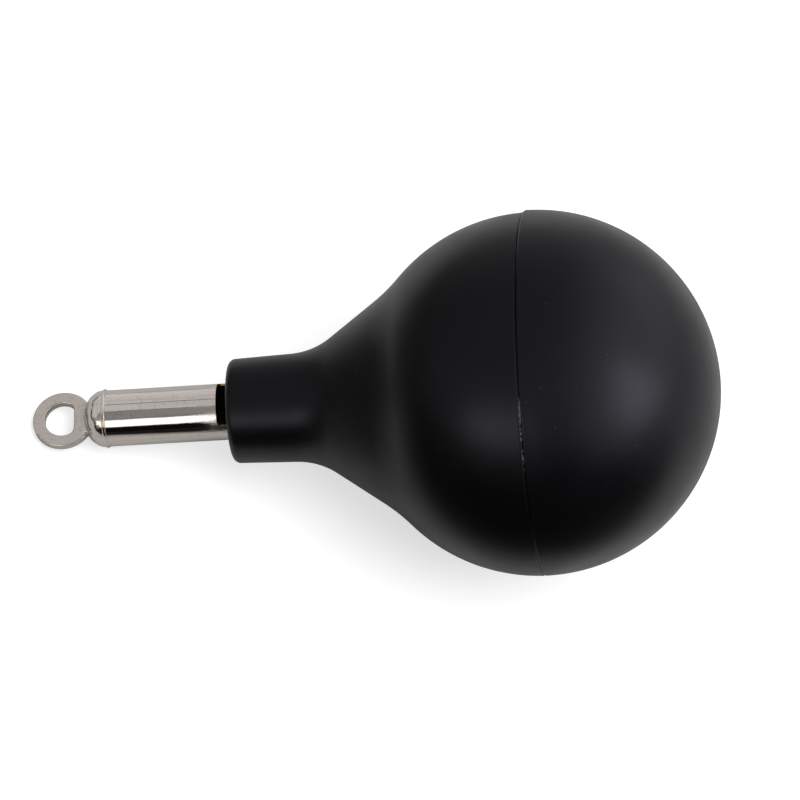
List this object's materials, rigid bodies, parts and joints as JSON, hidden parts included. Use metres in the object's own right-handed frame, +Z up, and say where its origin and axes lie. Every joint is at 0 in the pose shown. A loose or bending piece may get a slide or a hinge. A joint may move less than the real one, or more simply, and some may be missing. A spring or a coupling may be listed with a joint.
{
  "type": "squeeze bulb whistle",
  "caption": "Rubber squeeze bulb with a funnel neck that holds a plated brass tube whistle with a domed cap and a ring; pressing the bulb blows air through the whistle.",
  "frame": {"origin": "on the floor, under the middle of the bounding box of the part lying at rest on its ball and on the far edge of its ring", "axes": "+Z up, +X level, from the ring towards the ball's rear pole; the bulb's axis lies in the XZ plane and dips 20.4 degrees below level towards -X; +Y across"},
  "size_m": [0.182, 0.1, 0.1],
  "materials": {
    "bulb_rubber": "moulded black rubber, satin",
    "nickel_plate": "nickel plating on brass, polished, slightly worn",
    "bare_brass": "bare brass, dull"
  },
  "bodies": {
    "bulb_front": {"bulb_front_shell": "bulb_rubber"},
    "bulb_rear": {"bulb_rear_shell": "bulb_rubber"},
    "whistle": {"whistle_barrel": "nickel_plate", "end_cap": "nickel_plate", "hanging_ring": "nickel_plate", "chamber_divider": "bare_brass", "chamber_stop": "bare_brass", "upper_windway_block": "bare_brass", "lower_windway_block": "bare_brass"}
  },
  "joints": [
    {"name": "bulb_squeeze", "type": "slide", "parent": "bulb_front", "child": "bulb_rear", "axis": [-0.9375, 0, -0.348], "range_m": [0, 0.025], "stiffness_N_per_m": 900, "deforming": ["bulb_front_shell"]},
    {"name": "whistle_pull", "type": "slide", "parent": "bulb_front", "child": "whistle", "axis": [-0.9375, 0, -0.348], "range_m": [0, 0.03]}
  ]
}
